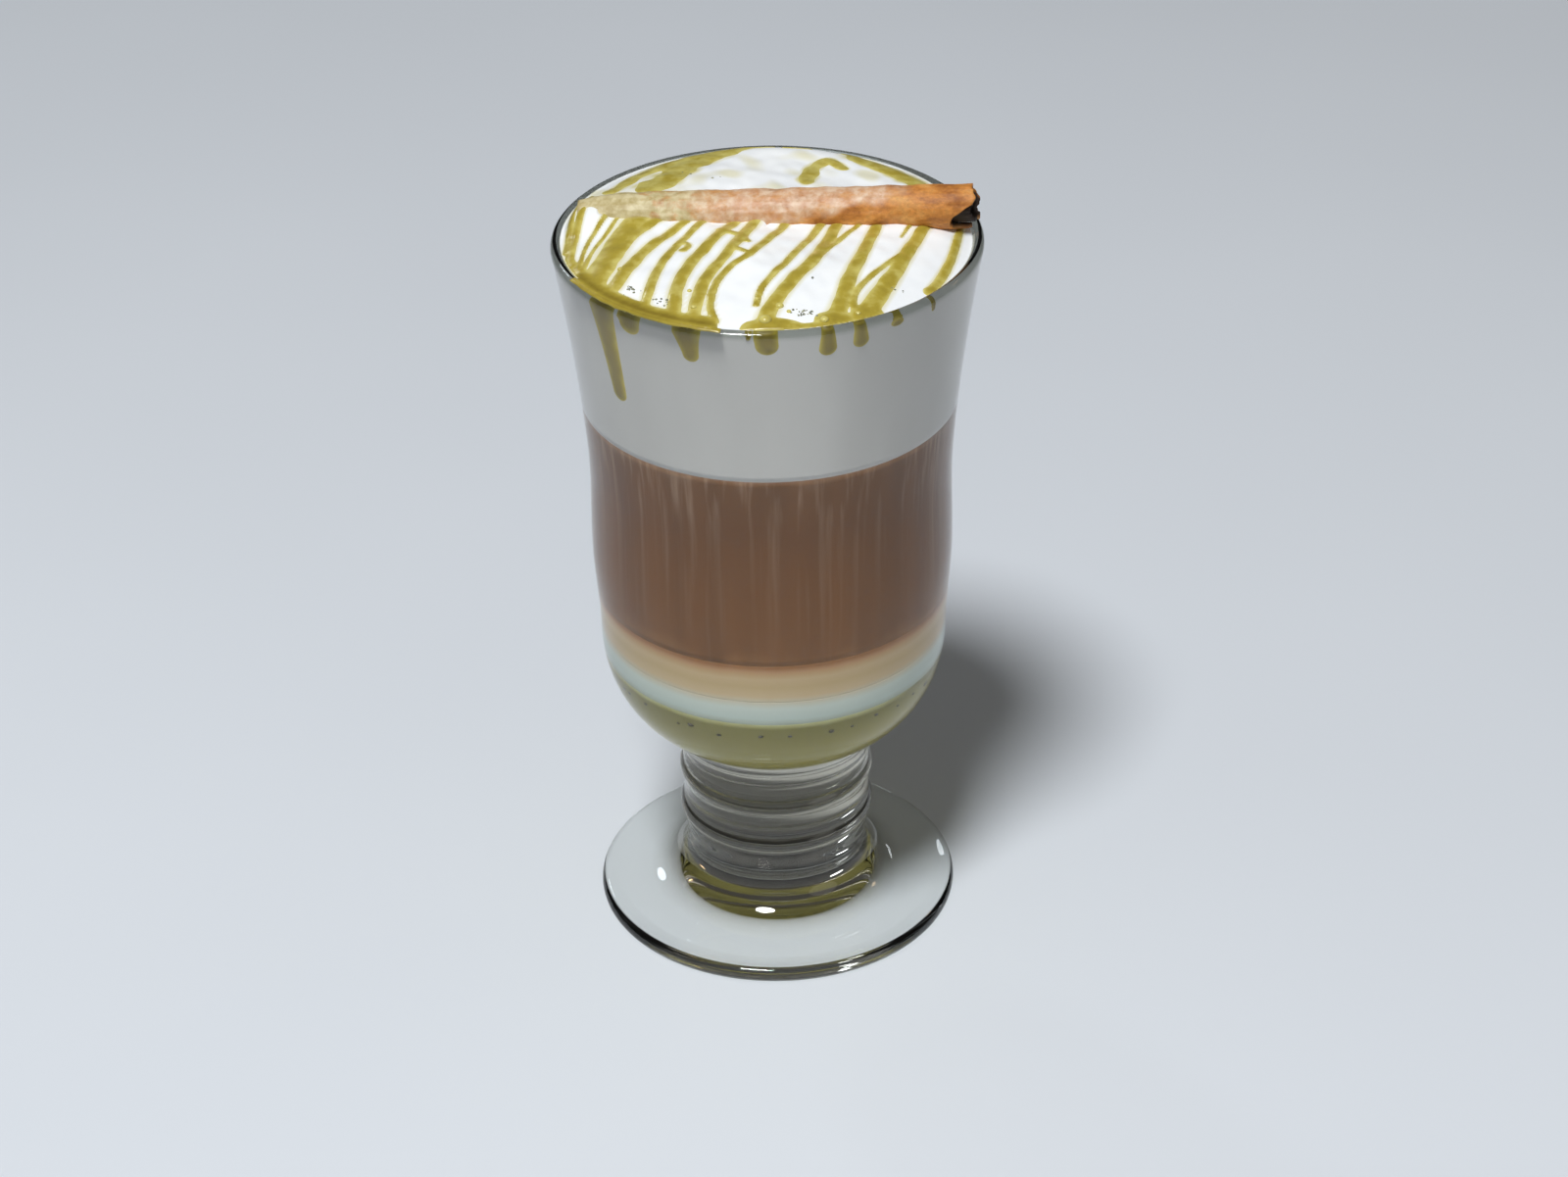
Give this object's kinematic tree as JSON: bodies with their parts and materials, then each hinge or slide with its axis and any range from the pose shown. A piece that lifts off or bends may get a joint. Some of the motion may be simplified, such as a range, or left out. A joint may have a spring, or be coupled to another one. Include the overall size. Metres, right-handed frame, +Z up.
{
  "type": "latte in a footed glass",
  "caption": "Layered latte in a clear footed glass: syrup, milk and coffee layers under domed foam with drizzled sauce and a cinnamon stick lying across the rim.",
  "frame": {"origin": "on the glass's axis, at the surface that the foot stands on", "axes": "+Z up along the glass's axis; the cinnamon stick lies along X, its hollow broken end towards +X; the side with the sauce drips faces -Y"},
  "size_m": [0.08, 0.08, 0.1544],
  "materials": {
    "clear_glass": "clear, polished",
    "syrup": "glossy, slightly clear",
    "milk": "smooth",
    "blend": "smooth",
    "coffee": "smooth, faintly streaked",
    "foam": "soft, fine bubbles",
    "sauce": "glossy, slightly clear",
    "cinnamon": "rough bark, wet in part"
  },
  "bodies": {
    "root": {"glass": "clear_glass", "syrup": "syrup", "milk": "milk", "blend": "blend", "coffee": "coffee", "foam": "foam", "cinnamon_stick": "cinnamon"}
  },
  "joints": []
}
